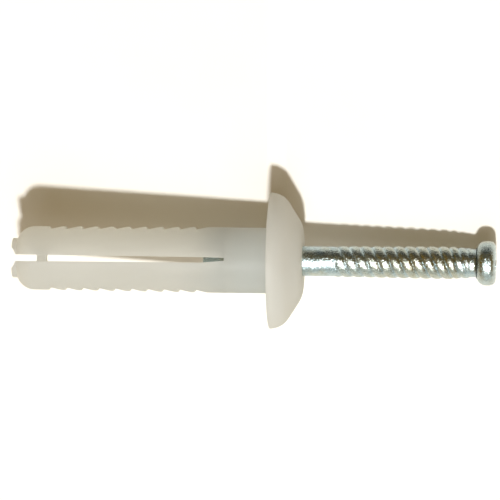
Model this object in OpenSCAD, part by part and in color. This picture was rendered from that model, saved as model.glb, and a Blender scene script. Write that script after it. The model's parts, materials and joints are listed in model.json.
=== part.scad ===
// Nail-in wall anchor: a split nylon sleeve with a mushroom head, and the threaded steel pin that spreads it.
// X runs along the axis and points out of the wall. The origin is the centre of the head's bearing face.
// The slot lies in the XZ plane, so one leg is at +Y, the back, and the other at -Y, the front.

/* [Sleeve] */
// Length of the sleeve below its head
sleeve_length = 25.5; // [25:0.1:26]
// Diameter of the smooth collar under the head, which fills the drilled hole
collar_dia = 6.45; // [6.4:0.05:6.6]
// Length of the smooth collar, from the bearing face to the last notch
collar_length = 6.15; // [6:0.05:6.5]
// Diameter of the legs behind the nose
tip_dia = 6.25; // [6.1:0.05:6.35]
// Radius of the rounded nose
nose_radius = 1.8; // [1.5:0.1:2]
// Diameter of the short ring around the mouth of the bore at the tip
tip_ring_dia = 3.9; // [3.4:0.1:4.2]

/* [Head] */
// Diameter of the mushroom head
head_dia = 13.4; // [12.8:0.1:14]
// Height of the mushroom head
head_height = 3.25; // [3.2:0.05:3.5]
// Straight land at the rim, above the bearing face
rim_land = 0.05; // [0.05:0.05:0.2]
// Radius of the shoulder above the rim
shoulder_radius = 2.1; // [1.9:0.05:2.2]
// Slope of the flank from the axis
flank_angle = 57.5; // [55:0.5:60]
// Radius that blends the flank into the flat crown
crown_radius = 2.8; // [2.4:0.1:3]

/* [Slot and barbs] */
// Distance from the bearing face to the slot's root
root_depth = 4.35; // [4:0.05:4.6]
// Width of the slot at its root
slot_root = 0.53; // [0.5:0.01:0.6]
// Width of the slot at the tip
slot_tip = 0.66; // [0.6:0.01:0.75]
// Width of the flared mouth of the slot, in the ring at the tip
slot_mouth = 2; // [1.4:0.1:2.2]
// Number of notches along each leg
notch_count = 10; // [6:1:10]
// Spacing of the notches
notch_pitch = 1.6; // [1.57:0.01:1.62]
// Distance from the bearing face to the crest of the notch nearest the head
last_crest = 7.5; // [7.45:0.01:7.6]
// Depth of a notch
notch_depth = 0.28; // [0.2:0.01:0.35]
// Length of a notch's steep side, which faces the head
notch_drop = 0.17; // [0.1:0.01:0.25]
// Length of a notch's slope, up to the next crest's land
notch_slope = 1.15; // [1:0.01:1.3]

/* [Drive pin] */
// Diameter of the smooth shank
pin_dia = 2.94; // [2.9:0.01:3]
// Diameter over the thread
thread_dia = 3.12; // [3.06:0.01:3.2]
// Depth of the thread
thread_depth = 0.15; // [0.1:0.01:0.18]
// Travel of the thread in one turn
thread_lead = 3.3; // [3:0.1:3.6]
// Number of thread starts
thread_starts = 3; // [2:1:4]
// Length of the threaded stretch
thread_length = 13.5; // [12:0.1:14]
// Length of the pin under its head
pin_length = 26.9; // [26.5:0.05:27.2]
// Distance that the pin is still to be driven
pin_travel = 17.1; // [16.8:0.05:17.3]
// Diameter of the pin's head
pin_head_dia = 4.4; // [4.2:0.05:4.6]
// Height of the pin's head
pin_head_height = 1.9; // [1.7:0.05:2.1]

/* [Motion] */
// Angle that each leg opens when the pin is home
leg_angle = 2.4; // [2:0.1:2.6]
// Radial gap between the pin and the sleeve
running_gap = 0.03; // [0.02:0.01:0.05]

/* [Hidden] */
$fn = 96;

past = 1;                                  // how far a cut runs past a face
collar_r = collar_dia / 2;
tip_r = tip_dia / 2;
head_r = head_dia / 2;
pin_r = pin_dia / 2;
thread_r = thread_dia / 2;
valley_r = thread_r - thread_depth;
neck_r = valley_r - 0.05;                  // the thread stands on a core as thick as the neck
leg_length = sleeve_length - root_depth;
nose_start = -23.3;                        // where the straight leg turns into the nose

// The pin is part-driven: its head is one travel away from the crown
pin_head_x = head_height + pin_travel;
pin_tip_x = pin_head_x - pin_length;
neck_length = 0.7;
thread_end_x = pin_head_x - neck_length;
thread_start_x = thread_end_x - thread_length;

// The tie web joins the legs near the tip, above the pin's path
web_from = -22.9;
web_to = -21.8;
web_low = 2.1;
web_high = 3.05;
web_crack = 0.02;                          // the line where the web lets go of the back leg

// Half the slot's width at a place along the axis
function slot_half(x) =
    let (along = (-root_depth - x) / leg_length)
    (slot_root + (slot_tip - slot_root) * along) / 2;

// Outer radius of the straight leg, which tapers a little towards the tip
function leg_r(x) =
    let (along = (-collar_length - x) / (-collar_length - nose_start))
    collar_r + (tip_r - collar_r) * max(0, along);

// How far the leg has opened at a distance from its root, when a stretch of the pin whose front
// starts at front reaches that place
function opening(from_root, front) =
    from_root * sin(leg_angle) * min(1, (from_root - front) / pin_travel);

// Bore radius that lets a shaft pass between the slot's edges after the legs have opened that far
function clear_r(shaft_r, opened) =
    sqrt(pow(shaft_r + running_gap, 2) - pow(opened, 2) - slot_root * opened);

shank_front = -root_depth - pin_tip_x;
thread_front = -root_depth - thread_start_x;
thread_reach = thread_front + pin_travel + 0.15;
shank_reach = shank_front + pin_travel;
function shank_bore(from_root) = clear_r(pin_r, opening(from_root, min(from_root, shank_front)));
function thread_bore(from_root) = clear_r(thread_r, opening(from_root, thread_front));

// Points of an arc, from one angle to another
function arc(centre, radius, from, to, steps) =
    [for (i = [0 : steps])
        let (a = from + (to - from) * i / steps)
        [centre[0] + radius * cos(a), centre[1] + radius * sin(a)]];

// Turns an outline of [radius, place along X] about the X axis
module turned(outline) {
    rotate([0, 90, 0])
        rotate_extrude()
            polygon(outline);
}

// Mushroom head: rim land, shoulder arc, straight flank, crown arc and flat crown
module head_shape() {
    shoulder = arc([head_r - shoulder_radius, rim_land], shoulder_radius, 0, flank_angle, 8);
    shoulder_end = shoulder[len(shoulder) - 1];
    crown_start_x = head_height - crown_radius * (1 - sin(flank_angle));
    crown_start_r = shoulder_end[0] - (crown_start_x - shoulder_end[1]) * tan(flank_angle);
    crown_centre = [crown_start_r - crown_radius * cos(flank_angle), head_height - crown_radius];
    crown = arc(crown_centre, crown_radius, flank_angle, 90, 6);
    turned(concat([[0, 0], [head_r, 0]], shoulder, crown, [[0, head_height]]));
}

module sleeve_head() {
    color("ivory")
        difference() {
            union() {
                head_shape();
                turned([[0, -root_depth], [collar_r, -root_depth], [collar_r, past / 2], [0, past / 2]]);
            }
            bore_r = thread_r + running_gap;
            turned([
                [0, -root_depth - past], [bore_r, -root_depth - past],
                [bore_r, head_height + past], [0, head_height + past]
            ]);
        }
}

// Outside of both legs: collar stretch, tapered body, rounded nose and the ring at the tip
module leg_blank() {
    nose_centre = [leg_r(nose_start) - nose_radius, nose_start];
    ring_r = tip_ring_dia / 2;
    ring_angle = acos((ring_r - nose_centre[0]) / nose_radius);
    turned(concat(
        [[0, -root_depth], [collar_r, -root_depth], [collar_r, -collar_length]],
        arc(nose_centre, nose_radius, 0, -ring_angle, 10),
        [[ring_r, -sleeve_length], [0, -sleeve_length]]
    ));
}

// The bore narrows towards the tip, so that the pin spreads the legs as it goes in
module leg_bore() {
    bore_step = 1;
    turned(concat(
        [[0, -root_depth + past]],
        [[thread_r + running_gap, -root_depth + past]],
        [for (d = [0 : bore_step : thread_reach]) [thread_bore(d), -root_depth - d]],
        [[thread_bore(thread_reach), -root_depth - thread_reach]],
        [for (d = [ceil(thread_reach) : bore_step : shank_reach]) [shank_bore(d), -root_depth - d]],
        [[shank_bore(shank_reach), -root_depth - shank_reach]],
        [[shank_bore(shank_reach), -sleeve_length - past]],
        [[0, -sleeve_length - past]]
    ));
}

// Notches along the outer side of the back leg, cut straight through along Z
module notches() {
    for (i = [0 : notch_count - 1]) {
        crest = -last_crest - i * notch_pitch;
        deepest = crest + notch_drop;
        slope_end = deepest + notch_slope;
        rise = leg_r(slope_end) - (leg_r(deepest) - notch_depth);
        over = past * notch_slope / rise;
        translate([0, 0, -head_r])
            linear_extrude(2 * head_r)
                polygon([
                    [crest - notch_drop * past / notch_depth, leg_r(crest) + past],
                    [crest, leg_r(crest)],
                    [deepest, leg_r(deepest) - notch_depth],
                    [slope_end, leg_r(slope_end)],
                    [slope_end, leg_r(slope_end) + past]
                ]);
    }
}

// Everything on the front side of the back leg's slot face, which flares in the ring at the tip
module slot_side() {
    flare = 0.4;
    flare_end = flare - sleeve_length;
    from = -sleeve_length - past;
    to = -root_depth + past;
    translate([0, 0, -head_r])
        linear_extrude(2 * head_r)
            polygon(concat(
                [[from, -head_r], [from, slot_mouth / 2], [-sleeve_length, slot_mouth / 2]],
                [[flare_end - flare / 4, (slot_mouth / 2 + slot_half(flare_end)) / 2]],
                [[flare_end, slot_half(flare_end)], [to, slot_half(to)], [to, -head_r]]
            ));
}

module leg() {
    difference() {
        leg_blank();
        leg_bore();
        slot_side();
        notches();
    }
}

module leg_back() {
    color("ivory")
        leg();
}

module leg_front() {
    color("ivory")
        mirror([0, 1, 0])
            leg();
}

// Small web across the slot, above the pin's path
module tie_web() {
    color("ivory")
        translate([0, 0, web_low])
            linear_extrude(web_high - web_low)
                polygon([
                    [web_from, -slot_half(web_from)],
                    [web_to, -slot_half(web_to)],
                    [web_to, slot_half(web_to) - web_crack],
                    [web_from, slot_half(web_from) - web_crack]
                ]);
}

// Height of the thread, 0 to 1, at a share of the way from one start's ridge to the next
function ridge(share) =
    share < 0.17 ? share / 0.17 :
    share < 0.5 ? 1 :
    share < 0.67 ? (0.67 - share) / 0.17 : 0;

module pin_thread() {
    ridge_points = 6;
    points = thread_starts * ridge_points;
    lead_in = 0.1;                         // the ridges start this far back on the shank
    length = thread_length + lead_in;
    turns = length / thread_lead;
    translate([thread_start_x - lead_in, 0, 0])
        rotate([0, 90, 0])
            linear_extrude(length, twist = -360 * turns, slices = round(22 * turns), $fn = points)
                polygon([
                    for (i = [0 : points - 1])
                        let (r = valley_r + thread_depth * ridge((i % ridge_points) / ridge_points))
                        [r * cos(360 * i / points), r * sin(360 * i / points)]
                ]);
}

module pin_blank() {
    point_chamfer = 0.25;
    under_round = 0.95;
    top_round = 0.65;
    pin_head_r = pin_head_dia / 2;
    top_x = pin_head_x + pin_head_height;
    turned(concat(
        [
            [0, pin_tip_x],
            [pin_r - point_chamfer, pin_tip_x],
            [pin_r, pin_tip_x + point_chamfer],
            [pin_r, thread_start_x],
            [neck_r, thread_start_x],
            [neck_r, pin_head_x]
        ],
        arc([pin_head_r - under_round, pin_head_x + under_round], under_round, -90, 0, 8),
        arc([pin_head_r - top_round, top_x - top_round], top_round, 0, 90, 4),
        [[0, top_x]]
    ));
}

// Cross recess for a screwdriver, which narrows towards its bottom
module cross_recess() {
    recess_depth = 1.3;
    wing_width = 0.5;
    mouth = 1.15;
    bottom = 0.45;
    top_x = pin_head_x + pin_head_height;
    wing_slope = (mouth - bottom) / recess_depth;
    wide = mouth + wing_slope * past;
    for (turn = [0, 90])
        rotate([turn, 0, 0])
            translate([0, 0, -wing_width / 2])
                linear_extrude(wing_width)
                    polygon([
                        [top_x - recess_depth, -bottom], [top_x + past, -wide],
                        [top_x + past, wide], [top_x - recess_depth, bottom]
                    ]);
}

module drive_pin() {
    color("silver")
        difference() {
            union() {
                pin_blank();
                pin_thread();
            }
            cross_recess();
        }
}

sleeve_head();
leg_back();
leg_front();
tie_web();
drive_pin();
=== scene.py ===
"""Nylon nail-in wall anchor: a barbed, slotted sleeve with a mushroom head, and its zinc-plated pin.

Everything is in metres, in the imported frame: X runs along the axis and out of the wall, and the origin is
the centre of the head's bearing face. One leg is at +Y, the back, and the other at -Y, the front.
"""
import json
import math

import bpy
from mathutils import Matrix, Vector


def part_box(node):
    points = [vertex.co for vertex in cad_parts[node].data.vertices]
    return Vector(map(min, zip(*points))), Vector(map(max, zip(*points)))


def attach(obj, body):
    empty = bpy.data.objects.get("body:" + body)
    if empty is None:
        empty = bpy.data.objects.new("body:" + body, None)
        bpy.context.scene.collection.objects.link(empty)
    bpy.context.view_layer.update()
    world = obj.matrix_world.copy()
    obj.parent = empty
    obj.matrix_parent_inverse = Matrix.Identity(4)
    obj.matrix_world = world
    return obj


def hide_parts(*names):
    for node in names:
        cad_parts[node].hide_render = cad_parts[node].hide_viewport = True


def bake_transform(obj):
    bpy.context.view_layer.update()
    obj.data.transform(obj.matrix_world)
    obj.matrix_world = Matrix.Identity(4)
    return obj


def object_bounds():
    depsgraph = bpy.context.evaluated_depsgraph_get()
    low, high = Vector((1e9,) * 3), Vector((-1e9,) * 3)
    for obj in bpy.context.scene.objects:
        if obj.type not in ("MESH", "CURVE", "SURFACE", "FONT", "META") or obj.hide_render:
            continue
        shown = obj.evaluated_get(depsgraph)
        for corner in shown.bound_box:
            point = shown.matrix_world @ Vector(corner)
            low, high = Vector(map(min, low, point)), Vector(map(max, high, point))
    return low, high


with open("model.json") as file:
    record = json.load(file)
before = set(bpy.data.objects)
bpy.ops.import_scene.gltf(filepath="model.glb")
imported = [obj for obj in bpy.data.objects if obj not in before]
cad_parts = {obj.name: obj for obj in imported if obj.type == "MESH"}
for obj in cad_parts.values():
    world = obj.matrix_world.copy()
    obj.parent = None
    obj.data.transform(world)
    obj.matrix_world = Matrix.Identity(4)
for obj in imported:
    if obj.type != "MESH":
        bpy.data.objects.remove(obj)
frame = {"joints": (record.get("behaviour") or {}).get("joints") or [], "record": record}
CAD_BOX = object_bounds()

MM = 0.001
FULL_TURN = 2 * math.pi

# ---- Sizes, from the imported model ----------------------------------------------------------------

head_low, head_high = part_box("sleeve_head")
leg_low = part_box("leg_back")[0]
pin_low, pin_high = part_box("drive_pin")
web_low, web_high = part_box("tie_web")
joints = {joint["name"]: joint for joint in frame["joints"]}
mounts = {mount["name"]: mount for mount in frame["record"]["mounts"]}

ROOT_X = head_low.x  # the slot's root, where the legs start
TIP_X = leg_low.x
CROWN_X = head_high.x
HEAD_R = head_high.z
COLLAR_R = mounts["hole_shank"]["dims"]["r_mm"] * MM
COLLAR_X = -mounts["hole_shank"]["dims"]["length_mm"] * MM  # end of the collar, start of the notches
PIN_TIP_X = pin_low.x
PIN_TOP_X = pin_high.x
PIN_HEAD_R = pin_high.z
PIN_TRAVEL = joints["pin_drive"]["range_m"][1]
PIN_HEAD_X = CROWN_X + PIN_TRAVEL  # underside of the pin's head

# ---- Sizes that only the looks need --------------------------------------------------------------

AROUND = 144  # steps round a turned piece of the sleeve
AROUND_PIN = 90
SAME_PLACE = 0.0001 * MM  # points that are closer than this are one point
LEG_TIP_R = 3.125 * MM
NOSE_X = -23.3 * MM  # where the straight leg turns into the nose
NOSE_R = 1.8 * MM
TIP_RING_R = 1.95 * MM
BORE_R = 1.625 * MM
BORE_TIP_R = 1.06 * MM
SLOT_ROOT = 0.265 * MM  # half the slot's width
SLOT_TIP = 0.33 * MM
SLOT_MOUTH = 1.0 * MM  # half the width of its flared mouth, in the ring at the tip
BACK_ROOT = 0.85  # the slot closes up at its root: share of its half width that is left at the back
FRONT_ROOT = 0.2  # the same at the front

NOTCHES = 10
NOTCH_PITCH = 1.6 * MM
LAST_CREST_X = -7.5 * MM
NOTCH_DEPTH = 0.28 * MM
NOTCH_DROP = 0.17 * MM  # length of a notch's steep side
NOTCH_SLOPE = 1.15 * MM  # length of its gentle side

SHANK_R = 1.47 * MM
CREST_R = 1.6 * MM
VALLEY_R = 1.4 * MM
NECK_R = 1.37 * MM
THREAD_START_X = 6.15 * MM
THREAD_END_X = 19.9 * MM
THREAD_LEAD = 3.3 * MM
THREAD_STARTS = 3
RUN_OUT_X = THREAD_END_X - 1.9 * MM  # where the ridges start to crowd together


def smooth(x, start, end):
    """0 before start, 1 after end, and a smooth step between them."""
    t = min(max((x - start) / (end - start), 0), 1)
    return t * t * (3 - 2 * t)


def arc(x, r, radius, start, end, steps):
    """Points of an arc round (x, r). Its angles are in degrees, from the radial direction towards +X."""
    angles = [math.radians(start + (end - start) * i / steps) for i in range(steps + 1)]
    return [(x + radius * math.sin(a), r + radius * math.cos(a)) for a in angles]


# ---- Modelling -----------------------------------------------------------------------------------


def deselect():
    for obj in list(bpy.context.selected_objects):
        obj.select_set(False)


def activate(obj):
    deselect()
    obj.select_set(True)
    bpy.context.view_layer.objects.active = obj


def edit(obj):
    activate(obj)
    bpy.ops.object.mode_set(mode="EDIT")
    bpy.ops.mesh.select_all(action="SELECT")


def leave_edit():
    bpy.ops.object.mode_set(mode="OBJECT")


def outline_mesh(name, points):
    """A closed wire through points, drawn by extruding one vertex. It stays in edit mode."""
    deselect()
    bpy.ops.mesh.primitive_plane_add(size=MM, location=points[0])
    obj = bpy.context.object
    obj.name = obj.data.name = name
    edit(obj)
    bpy.ops.mesh.merge(type="CENTER")
    for here, there in zip(points, points[1:] + points[:1]):
        step = Vector(there) - Vector(here)
        bpy.ops.mesh.extrude_region_move(TRANSFORM_OT_translate={"value": step})
    bpy.ops.mesh.select_all(action="SELECT")
    bpy.ops.mesh.remove_doubles(threshold=SAME_PLACE)
    leave_edit()
    bpy.ops.object.transform_apply(location=True, rotation=True, scale=True)
    edit(obj)
    return obj


def turned(name, outline, around=AROUND):
    """A solid turned about the X axis from a closed outline of (x, radius) points."""
    obj = outline_mesh(name, [(x, 0, r) for x, r in outline])
    bpy.ops.mesh.spin(steps=around, angle=FULL_TURN, center=(0, 0, 0), axis=(1, 0, 0))
    bpy.ops.mesh.select_all(action="SELECT")
    bpy.ops.mesh.remove_doubles(threshold=SAME_PLACE)
    bpy.ops.mesh.normals_make_consistent(inside=False)
    leave_edit()
    return obj


def remove_slivers(obj):
    """Takes away the slivers that a cut leaves, splits hollow faces, and turns the faces outwards."""
    sliver = 0.01 * MM
    edit(obj)
    bpy.ops.mesh.remove_doubles(threshold=sliver)
    bpy.ops.mesh.dissolve_degenerate(threshold=sliver / 10)
    bpy.ops.mesh.select_all(action="SELECT")
    bpy.ops.mesh.vert_connect_concave()
    bpy.ops.mesh.select_all(action="SELECT")
    bpy.ops.mesh.normals_make_consistent(inside=False)
    leave_edit()


def apply_modifiers(obj):
    activate(obj)
    for modifier in list(obj.modifiers):
        bpy.ops.object.modifier_apply(modifier=modifier.name)


def combine(obj, other, operation):
    """Cuts obj with another solid, or joins them, and takes the other one away."""
    boolean = obj.modifiers.new("Combine", "BOOLEAN")
    boolean.operation = operation
    boolean.solver = "EXACT"
    boolean.object = other
    apply_modifiers(obj)
    bpy.data.objects.remove(other)


def shade(obj, degrees):
    """Smooth shading, except over edges that are sharper than this."""
    activate(obj)
    bpy.ops.object.shade_smooth_by_angle(angle=math.radians(degrees))


# ---- Sleeve --------------------------------------------------------------------------------------


def leg_radius(x):
    """Outer radius of a leg, which tapers a little from the collar to the nose."""
    along = min(max((COLLAR_X - x) / (COLLAR_X - NOSE_X), 0), 1)
    return COLLAR_R + (LEG_TIP_R - COLLAR_R) * along


def slot_half(x):
    """Half the slot's width."""
    return SLOT_ROOT + (SLOT_TIP - SLOT_ROOT) * (ROOT_X - x) / (ROOT_X - TIP_X)


def model_head():
    """Mushroom head with the smooth collar under it, and the bore through both."""
    rim_edge = 0.05 * MM
    corner = 0.14 * MM  # fillet between the collar and the bearing face
    shoulder_r = 2.1 * MM
    flank = 57.5  # degrees from the axis
    crown_r = 2.8 * MM
    mouth = 0.18 * MM  # rounding of the bore's mouth
    along = 8  # steps along the collar, and along the bore
    across = 6  # steps across the bearing face, and round the fillet
    edge_steps = 5

    shoulder = arc(rim_edge, HEAD_R - shoulder_r, shoulder_r, 0, flank, steps=24)
    shoulder_end_x, shoulder_end_r = shoulder[-1]
    slant = math.radians(flank)
    crown_x = CROWN_X - crown_r * (1 - math.sin(slant))
    crown_start_r = shoulder_end_r - (crown_x - shoulder_end_x) * math.tan(slant)
    crown_centre_r = crown_start_r - crown_r * math.cos(slant)
    bore_x = CROWN_X - mouth

    outline = [(ROOT_X, BORE_R), (ROOT_X, COLLAR_R)]
    outline += [(ROOT_X - (ROOT_X + corner) * i / along, COLLAR_R) for i in range(1, along)]
    outline += arc(-corner, COLLAR_R + corner, corner, 180, 90, across)
    outline += [(0, COLLAR_R + (HEAD_R - COLLAR_R) * i / across) for i in range(1, across)]
    outline += arc(rim_edge, HEAD_R - rim_edge, rim_edge, -90, 0, edge_steps)
    outline += shoulder
    outline += arc(CROWN_X - crown_r, crown_centre_r, crown_r, flank, 90, steps=14)
    outline += arc(bore_x, BORE_R + mouth, mouth, 90, 180, edge_steps)
    outline += [(bore_x - (bore_x - ROOT_X) * i / along, BORE_R) for i in range(1, along)]
    obj = turned("sleeve_head_moulding", outline)
    shade(obj, 40)
    return obj


def leg_plan(root_half):
    """The back leg seen from above: its slot face with the flared mouth, and its notched outer side."""
    outside = COLLAR_R + MM
    valley = 0.04 * MM  # rounding of a notch's bottom
    clear = 0.1 * MM  # how far a cut goes on past the leg's surface
    flare = 0.4 * MM  # length of the flared mouth
    widening = 2.4 * MM  # length over which the slot widens from its root
    flare_curve = ((0.75, 0.6), (0.35, 0.88), (0, 1))  # shares of its length and of its width
    plan = [(ROOT_X + MM, root_half), (ROOT_X, root_half)]
    plan += [(x, slot_half(x)) for x in (ROOT_X - widening, (ROOT_X + TIP_X) / 2, TIP_X + flare)]
    plan += [(TIP_X + flare * share, SLOT_MOUTH * width) for share, width in flare_curve]
    plan += [(TIP_X - MM, SLOT_MOUTH), (TIP_X - MM, outside)]
    for i in reversed(range(NOTCHES)):
        crest = LAST_CREST_X - NOTCH_PITCH * i
        bottom = crest + NOTCH_DROP
        top = bottom + NOTCH_SLOPE
        floor = leg_radius(bottom) - NOTCH_DEPTH
        slope = (leg_radius(top) - floor) / NOTCH_SLOPE
        steep = NOTCH_DEPTH / NOTCH_DROP
        plan += [
            (crest - clear / steep, leg_radius(crest) + clear),
            (bottom - valley / steep, floor + valley),
            (bottom + valley * 0.3, floor + valley * 0.3),
            (bottom + valley * 2, floor + slope * valley * 2),
            (top + clear * 2, leg_radius(top) + slope * clear * 2),
        ]
    return plan + [(COLLAR_X + MM, outside), (ROOT_X + MM, outside)]


def model_leg(name, side):
    """One leg: a turned blank with nose, tip ring and narrowing bore, trimmed to the leg's plan."""
    edge = 0.06 * MM
    edge_steps = 3
    along = 42  # steps from the root to the nose
    bore_power = 1.6  # the bore narrows slowly at first, and faster towards the tip
    nose_turn = math.degrees(math.acos((TIP_RING_R - LEG_TIP_R + NOSE_R) / NOSE_R))
    stations = [ROOT_X + (NOSE_X - ROOT_X) * i / along for i in range(along + 1)]

    outline = [(ROOT_X, COLLAR_R)]
    outline += [(x, leg_radius(x)) for x in stations[1:-1]]
    outline += arc(NOSE_X, LEG_TIP_R - NOSE_R, NOSE_R, 0, -nose_turn, steps=18)
    outline += arc(TIP_X + edge, TIP_RING_R - edge, edge, 0, -90, edge_steps)
    outline += arc(TIP_X + edge, BORE_TIP_R + edge, edge, -90, -180, edge_steps)
    for i in reversed(range(along + 1)):
        open_share = 1 - (i / along) ** bore_power
        outline.append((stations[i], BORE_TIP_R + (BORE_R - BORE_TIP_R) * open_share))
    obj = turned(name, outline)

    root_half = SLOT_ROOT * (BACK_ROOT if side > 0 else FRONT_ROOT)
    plan = outline_mesh("leg_plan", [(x, y, -HEAD_R) for x, y in leg_plan(root_half)])
    bpy.ops.mesh.edge_face_add()
    bpy.ops.mesh.extrude_region_move(TRANSFORM_OT_translate={"value": (0, 0, 2 * HEAD_R)})
    bpy.ops.mesh.select_all(action="SELECT")
    bpy.ops.mesh.normals_make_consistent(inside=False)
    leave_edit()
    combine(obj, plan, "INTERSECT")

    if side < 0:
        activate(obj)
        bpy.ops.transform.mirror(constraint_axis=(False, True, False))
        bpy.ops.object.transform_apply(location=True, rotation=True, scale=True)
    remove_slivers(obj)
    shade(obj, 14)
    return obj


def model_web():
    """Thin web that ties the legs together near the tip, narrower in the middle, where it will snap."""
    overlap = 0.1 * MM  # it starts a little inside both legs
    waists = ((0.45, 0.9), (0.2, 0.94))  # share of its width on each side, and how much narrower it gets
    long = web_high.x - web_low.x
    wide = web_high.y - web_low.y + overlap
    thick = web_high.z - web_low.z
    centre = Vector(((web_low.x + web_high.x) / 2, 0, (web_low.z + web_high.z) / 2))
    deselect()
    bpy.ops.mesh.primitive_cube_add(size=1, location=centre)
    obj = bpy.context.object
    obj.name = obj.data.name = "tie_web_moulding"
    obj.scale = (long, wide, thick)
    bpy.ops.object.transform_apply(location=True, rotation=True, scale=True)
    edit(obj)
    bpy.ops.mesh.subdivide(number_cuts=5)
    bpy.ops.mesh.select_all(action="DESELECT")
    leave_edit()
    for limit, waist in waists:
        for vertex in obj.data.vertices:
            vertex.select = abs(vertex.co.y) < limit * wide
        bpy.ops.object.mode_set(mode="EDIT")
        bpy.ops.transform.resize(value=(waist, 1, 1), center_override=centre)
        leave_edit()
    shade(obj, 50)
    return obj


# ---- Drive pin -----------------------------------------------------------------------------------


def thread_height(x, turn):
    """Height of the thread, 0 to 1, at a place along the pin and a share of a turn, before the twist."""
    crowded = 0.35 / MM  # extra ridges for each metre of the run-out by the head
    roundness = 2.4
    share = (turn * THREAD_STARTS - max(x - RUN_OUT_X, 0) * crowded) % 1
    ridge = 1 - abs(2 * share - 1) ** roundness
    start = smooth(x, THREAD_START_X, THREAD_START_X + 0.55 * MM)
    growth = 0.6 + 0.4 * smooth(x, 6 * MM, 17 * MM)  # it stands taller towards the head
    low_run_out = 0.45 * smooth(x, RUN_OUT_X, RUN_OUT_X + 0.8 * MM)
    end = 0.55 * smooth(x, THREAD_END_X - 0.5 * MM, THREAD_END_X)
    return ridge * (start * growth) * (1 - low_run_out - end)


def recess_cutter():
    """Tapered cross, wider at its mouth."""
    depth = 1.3 * MM
    mouth = 1.15 * MM  # half its width at the mouth
    bottom = 0.45 * MM  # half its width at the bottom
    over = 0.3 * MM  # how far the cutter stands out of the pin
    blade = 0.5 * MM  # thickness of each wing
    thinning = 0.7  # share of that thickness which is left at the bottom
    cross_turn = math.radians(20)
    wide = mouth + (mouth - bottom) / depth * over
    obj = None
    for turn in (0, math.pi / 2):
        deselect()
        bpy.ops.mesh.primitive_cube_add(size=1, location=(PIN_TOP_X + (over - depth) / 2, 0, 0))
        wing = bpy.context.object
        wing.scale = (depth + over, 2 * wide, blade)
        bpy.ops.object.transform_apply(location=True, rotation=True, scale=True)
        edit(wing)
        bpy.ops.mesh.select_all(action="DESELECT")
        leave_edit()
        for vertex in wing.data.vertices:
            vertex.select = vertex.co.x < PIN_TOP_X - depth / 2
        bpy.ops.object.mode_set(mode="EDIT")
        bpy.ops.transform.resize(value=(1, bottom / wide, thinning), center_override=(0, 0, 0))
        leave_edit()
        wing.rotation_euler.x = turn + cross_turn
        bpy.ops.object.transform_apply(location=True, rotation=True, scale=True)
        if obj is None:
            obj = wing
        else:
            combine(obj, wing, "UNION")
    return obj


def model_pin():
    """Blunt point, smooth shank, three-start thread, neck and head with a cross recess."""
    point_r = 0.22 * MM
    under_r = 0.95 * MM  # rounding of the head's underside
    top_r = 0.65 * MM  # rounding of its top
    neck_fillet = 0.2 * MM
    shank_rings = 24
    thread_rings = 130
    valley_ease = 0.4 * MM  # length over which the shank narrows to the thread's valleys

    outline = [(PIN_TIP_X, 0), (PIN_TIP_X, SHANK_R / 2)]
    outline += arc(PIN_TIP_X + point_r, SHANK_R - point_r, point_r, -90, 0, steps=5)
    for i in range(1, shank_rings + 1):
        outline.append((PIN_TIP_X + (THREAD_START_X - PIN_TIP_X) * i / shank_rings, SHANK_R))
    for i in range(1, thread_rings + 1):
        x = THREAD_START_X + (THREAD_END_X - THREAD_START_X) * i / thread_rings
        narrowed = smooth(x, THREAD_START_X, THREAD_START_X + valley_ease)
        outline.append((x, SHANK_R + (VALLEY_R - SHANK_R) * narrowed))
    outline += arc(PIN_HEAD_X - neck_fillet, NECK_R + neck_fillet, neck_fillet, 180, 90, steps=4)
    outline += arc(PIN_HEAD_X + under_r, PIN_HEAD_R - under_r, under_r, -90, 0, steps=12)
    outline += arc(PIN_TOP_X - top_r, PIN_HEAD_R - top_r, top_r, 0, 90, steps=6)
    outline += [(PIN_TOP_X, PIN_HEAD_R * 0.6), (PIN_TOP_X, 0)]
    obj = turned("drive_pin_steel", outline, AROUND_PIN)

    ridges = obj.vertex_groups.new(name="ridges")
    for vertex in obj.data.vertices:
        x, y, z = vertex.co
        if THREAD_START_X < x < THREAD_END_X:
            turn = math.atan2(z, y) / FULL_TURN
            ridges.add([vertex.index], thread_height(x, turn % 1), "REPLACE")
    swell = obj.modifiers.new("Thread", "DISPLACE")
    swell.vertex_group = "ridges"
    swell.strength = CREST_R - VALLEY_R
    swell.mid_level = 0
    twist = obj.modifiers.new("Twist", "SIMPLE_DEFORM")
    twist.deform_method = "TWIST"
    twist.deform_axis = "X"
    length = PIN_TOP_X - PIN_TIP_X
    twist.limits = ((THREAD_START_X - PIN_TIP_X) / length, (THREAD_END_X - PIN_TIP_X) / length)
    twist.angle = FULL_TURN * (THREAD_END_X - THREAD_START_X) / THREAD_LEAD
    apply_modifiers(obj)
    obj.vertex_groups.clear()
    combine(obj, recess_cutter(), "DIFFERENCE")
    shade(obj, 40)
    return obj


# ---- Materials -----------------------------------------------------------------------------------


class Value:
    """A socket that carries a number. Arithmetic on it adds Math nodes."""

    def __init__(self, recipe, socket):
        self.recipe = recipe
        self.socket = socket

    def math(self, operation, first, second):
        return self.recipe.add("ShaderNodeMath", {"operation": operation}, {0: first, 1: second})

    def __add__(self, other):
        return self.math("ADD", self, other)

    def __sub__(self, other):
        return self.math("SUBTRACT", self, other)

    def __rsub__(self, other):
        return self.math("SUBTRACT", other, self)

    def __mul__(self, other):
        return self.math("MULTIPLY", self, other)


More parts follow.
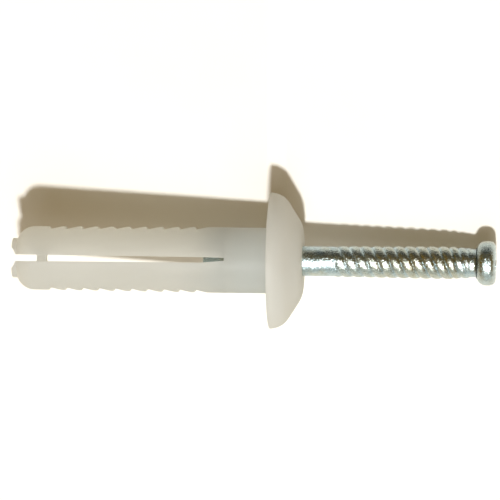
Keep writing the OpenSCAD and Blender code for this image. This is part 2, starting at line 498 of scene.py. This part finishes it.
class Recipe:
    """The node tree of a material or a world, with short ways to add to it."""

    def __init__(self, owner, place="Object", end="ShaderNodeOutputMaterial"):
        self.owner = owner
        self.end = end
        owner.use_nodes = True
        self.tree = owner.node_tree
        self.tree.nodes.clear()
        self.place = self.add("ShaderNodeTexCoord", output=place)

    def add(self, kind, settings=None, inputs=None, output=0):
        node = self.tree.nodes.new(kind)
        for key, setting in (settings or {}).items():
            if key == "stops":
                self.set_stops(node.color_ramp, setting)
            else:
                setattr(node, key, setting)
        for key, value in (inputs or {}).items():
            if isinstance(value, Value):
                self.tree.links.new(value.socket, node.inputs[key])
            else:
                node.inputs[key].default_value = value
        return Value(self, node.outputs[output]) if node.outputs else node

    @staticmethod
    def set_stops(ramp, stops):
        while len(ramp.elements) < len(stops):
            ramp.elements.new(1)
        for element, (position, level) in zip(ramp.elements, stops):
            element.position = position
            element.color = (level, level, level, 1)

    def stretched(self, x, y, z):
        return self.add("ShaderNodeMapping", {}, {"Vector": self.place, "Scale": (x, y, z)})

    def noise(self, size, detail, place=None):
        """Cloudy noise whose features are about size across, in metres."""
        inputs = {"Vector": place or self.place, "Scale": 1 / size, "Detail": detail, "Roughness": 0.55}
        return self.add("ShaderNodeTexNoise", {}, inputs)

    def ramp(self, value, *stops):
        return self.add("ShaderNodeValToRGB", {"stops": stops}, {"Fac": value})

    def mix(self, factor, first, second, blend="MIX"):
        settings = {"data_type": "RGBA", "blend_type": blend}
        return self.add("ShaderNodeMix", settings, {"Factor": factor, 6: first, 7: second}, output=2)

    def bump(self, height, depth, strength, below=None):
        inputs = {"Height": height, "Distance": depth, "Strength": strength}
        if below:
            inputs["Normal"] = below
        return self.add("ShaderNodeBump", {}, inputs)

    def finish(self, shader):
        self.add(self.end, {}, {"Surface": shader})
        return self.owner


def nylon():
    """Off-white moulded nylon: satin, a little cloudy, and thin enough to let light through."""
    recipe = Recipe(bpy.data.materials.new("nylon_off_white"))
    cream = (0.48, 0.515, 0.54, 1)
    milk = (0.51, 0.55, 0.58, 1)
    painted_pale_head = (0.63, 0.66, 0.67, 1)  # painted light: a paler copy of the nylon on the head, standing in for the extra light its thicker body throws back
    painted_steel_shade = (0.92, 0.97, 1, 1)  # painted shade: nylon darkened where the steel pin stands inside it
    warm = (0.96, 0.94, 0.88, 1)  # light that has come through it
    steel_fade = 4 * MM  # length over which the painted steel shade comes in, from the pin's point at rest
    under_face = 0.3 * MM  # the head's colour starts this far under the bearing face
    through_body = 0.7  # share of the light that comes through the nylon
    through_head = 0.6
    clouds = recipe.noise(3.5 * MM, 3)
    streaks = recipe.noise(1.2 * MM, 3, recipe.stretched(0.25, 1, 1))
    colour = recipe.mix(recipe.ramp(clouds * 0.6 + streaks * 0.4, (0.35, 0), (0.65, 1)), cream, milk)
    along = recipe.add("ShaderNodeSeparateXYZ", {}, {"Vector": recipe.place})
    # Painted shade of the steel inside: the nylon darkens from the pin's point towards the head. It is
    # fixed along X, so it stays put when the pin is driven.
    past_point = (along - PIN_TIP_X) * (1 / steel_fade)
    thick = recipe.ramp(past_point, (0, 0), (1, 1))
    colour = recipe.mix(thick, colour, recipe.mix(1.0, colour, painted_steel_shade, "MULTIPLY"))
    # Painted light: the head takes the paler copy of the nylon.
    on_head = recipe.ramp((along + under_face) * (1 / MM), (0, 0), (0.6, 1))
    colour = recipe.mix(on_head, colour, painted_pale_head)
    skin = recipe.noise(0.22 * MM, 4)
    swell = recipe.noise(1.6 * MM, 2)
    normal = recipe.bump(skin, 0.012 * MM, 0.6, recipe.bump(swell, 0.06 * MM, 0.5))
    roughness = recipe.noise(0.6 * MM, 3) * 0.16 + 0.38
    surface = recipe.add("ShaderNodeBsdfPrincipled", {}, {
        "Base Color": colour,
        "Roughness": roughness,
        "IOR": 1.53,
        "Specular IOR Level": 0.4,
        "Normal": normal,
    })
    glow = recipe.add("ShaderNodeBsdfTranslucent", {}, {"Color": warm, "Normal": normal})
    through = through_body - on_head * (through_body - through_head)
    return recipe.finish(recipe.add("ShaderNodeMixShader", {}, {0: through, 1: surface, 2: glow}))


def zinc_steel():
    """Bright zinc plating over rolled steel: pitted, a little blue, with thin gold stains."""
    recipe = Recipe(bpy.data.materials.new("zinc_plated_steel"))
    bright = (0.43, 0.54, 0.57, 1)
    grey = (0.31, 0.38, 0.40, 1)
    gold = (0.52, 0.43, 0.22, 1)
    crest_stain_and_reflection = (0.44, 0.38, 0.22, 1)  # on the thread's crests: partly a stain, partly a painted reflection of the warm brown room
    stretch = 20 * MM  # length that the thread's stain and painted reflection are spread over
    patches = recipe.ramp(recipe.noise(0.3 * MM, 4), (0.42, 0), (0.62, 1))
    colour = recipe.mix(patches * 0.7, bright, grey)
    stain = recipe.ramp(recipe.noise(1.7 * MM, 3), (0.52, 0), (0.72, 1))
    colour = recipe.mix(stain * 0.35, colour, gold)
    section = recipe.stretched(0, 1, 1)
    from_axis = recipe.add("ShaderNodeVectorMath", {"operation": "LENGTH"}, {0: section}, output=1)
    crest = recipe.ramp((from_axis - VALLEY_R) * (1 / (CREST_R - VALLEY_R)), (0.25, 0), (0.75, 1))
    along = recipe.add("ShaderNodeSeparateXYZ", {}, {"Vector": recipe.place})
    past_start = (along - THREAD_START_X) * (1 / stretch)
    threaded = recipe.ramp(past_start, (0, 0), (0.04, 1), (0.69, 1), (0.71, 0.3))
    # Partly stain, partly painted reflection: brown on the thread's crests, and a little on the pin's head.
    colour = recipe.mix(crest * threaded * 0.4, colour, crest_stain_and_reflection)
    pits = recipe.noise(0.15 * MM, 3)
    grain = recipe.noise(0.5 * MM, 3, recipe.stretched(0.35, 1, 1))
    normal = recipe.bump(pits, 0.065 * MM, 0.9, recipe.bump(grain, 0.03 * MM, 0.6))
    roughness = patches * 0.1 + 0.19
    return recipe.finish(recipe.add("ShaderNodeBsdfPrincipled", {}, {
        "Base Color": colour,
        "Metallic": 1.0,
        "Roughness": roughness,
        "Normal": normal,
    }))


def pale_floor():
    """Matt white card, very slightly cloudy."""
    recipe = Recipe(bpy.data.materials.new("pale_floor"))
    paper = recipe.noise(4 * MM, 3)
    colour = recipe.mix(paper, (0.92, 0.89, 0.83, 1), (0.94, 0.91, 0.85, 1))
    return recipe.finish(recipe.add("ShaderNodeBsdfPrincipled", {}, {
        "Base Color": colour,
        "Roughness": 0.8,
        "Specular IOR Level": 0.1,
    }))


# ---- Stage ---------------------------------------------------------------------------------------


def add_camera():
    """A long lens above the anchor that leans a little to the head's side, with +X to the right."""
    centre = Vector((-2.02, 1.03, 0)) * MM
    lean = math.radians(4.4)
    roll = math.radians(0.68)
    distance = 0.74
    view_width = 49.31 * MM
    data = bpy.data.cameras.new("camera")
    data.sensor_width = 36
    data.lens = data.sensor_width * distance / view_width
    data.clip_start = 0.05
    data.clip_end = 20
    camera = bpy.data.objects.new("camera", data)
    bpy.context.scene.collection.objects.link(camera)
    turn = Matrix.Rotation(lean, 4, "Y") @ Matrix.Rotation(roll, 4, "Z")
    camera.matrix_world = Matrix.Translation(centre) @ turn @ Matrix.Translation((0, 0, distance))
    bpy.context.scene.camera = camera


def add_light(name, spread, strength, colour, place):
    """A soft light from far away, so that the whole floor is lit evenly. Its spread is in degrees."""
    data = bpy.data.lights.new(name, "SUN")
    data.angle = math.radians(spread)
    data.energy = strength
    data.color = colour
    light = bpy.data.objects.new(name, data)
    bpy.context.scene.collection.objects.link(light)
    light.location = place
    light.rotation_mode = "QUATERNION"
    light.rotation_quaternion = (-Vector(place)).to_track_quat("-Z", "Y")


def add_floor():
    """A sheet of card that falls away under the sleeve, and rises under the pin's head.

    The anchor lies on the rim of its mushroom head, and leans over until the pin's head rests too.
    """
    far = 4  # how far it reaches each way
    low = CAD_BOX[0].z
    strip = 2 * MM  # width of the flat strip under the rim, which both sides are drawn out from
    fall = 0.18  # down for each unit along, on the sleeve's side
    rise_end = 22 * MM
    rise = 3.3 * MM
    deselect()
    bpy.ops.mesh.primitive_plane_add(size=1, location=(0, 0, low))
    floor = bpy.context.object
    floor.name = floor.data.name = "floor"
    floor.scale = (strip, 2 * far, 1)
    bpy.ops.object.transform_apply(location=True, rotation=True, scale=True)
    drawn_out = ((-1, [(-far, 0, -far * fall)]), (1, [(rise_end, 0, rise), (far, 0, 0)]))
    for side, steps in drawn_out:
        activate(floor)
        for vertex in floor.data.vertices:
            vertex.select = vertex.co.x * side > 0
        for edge in floor.data.edges:
            edge.select = all(floor.data.vertices[i].select for i in edge.vertices)
        for face in floor.data.polygons:
            face.select = False
        bpy.ops.object.mode_set(mode="EDIT")
        for step in steps:
            bpy.ops.mesh.extrude_region_move(TRANSFORM_OT_translate={"value": step})
        leave_edit()
    floor.data.materials.append(pale_floor())


def add_world():
    """A dim warm room: darker behind, a bright low band in front, and plain white to the camera."""
    world = bpy.data.worlds.new("studio")
    bpy.context.scene.world = world
    recipe = Recipe(world, "Generated", "ShaderNodeOutputWorld")
    warm_wall = (0.27, 0.145, 0.0, 1)
    dark_wall = (0.08, 0.085, 0.08, 1)
    window = (0.9, 0.98, 0.95, 1)
    ceiling = (0.18, 0.13, 0.05, 1)
    white = (1, 1, 1, 1)
    across = recipe.add("ShaderNodeSeparateXYZ", {}, {"Vector": recipe.place}, output=1)
    up = recipe.add("ShaderNodeSeparateXYZ", {}, {"Vector": recipe.place}, output=2)
    behind = recipe.ramp(across, (0.35, 0), (0.75, 1))
    low_band = recipe.ramp(up, (0, 0), (0.08, 1), (0.45, 1), (0.6, 0))
    before = recipe.ramp(across * -1.0, (0.55, 0), (0.85, 1)) * low_band
    above = recipe.ramp(up, (0.68, 0), (0.86, 1))
    room = recipe.mix(behind, warm_wall, dark_wall)
    room = recipe.mix(before, room, window)
    room = recipe.mix(above, room, ceiling)
    seen = recipe.add("ShaderNodeLightPath", output="Is Camera Ray")
    colour = recipe.mix(seen, room, white)
    recipe.finish(recipe.add("ShaderNodeBackground", {}, {"Color": colour, "Strength": 1.0}))


bpy.context.scene.view_settings.view_transform = "Standard"
add_camera()
add_floor()
add_world()
add_light("key", 3, 3.2, (0.98, 0.99, 1), (0.035, -0.214, 0.585))
add_light("softbox", 37, 0.7, (1, 0.99, 0.97), (0.06, -0.27, 0.52))

# ---- The anchor ----------------------------------------------------------------------------------

nylon_finish = nylon()
steel_finish = zinc_steel()

head = model_head()
head.data.materials.append(nylon_finish)
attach(head, "sleeve")
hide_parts("sleeve_head")

for node, body, side in (("leg_back", "back_leg", 1), ("leg_front", "front_leg", -1)):
    leg = model_leg(node + "_moulding", side)
    leg.data.materials.append(nylon_finish)
    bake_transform(leg)
    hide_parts(node)

web = model_web()
web.data.materials.append(nylon_finish)
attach(web, "front_leg")
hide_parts("tie_web")

pin = model_pin()
pin.data.materials.append(steel_finish)
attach(pin, "pin")
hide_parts("drive_pin")
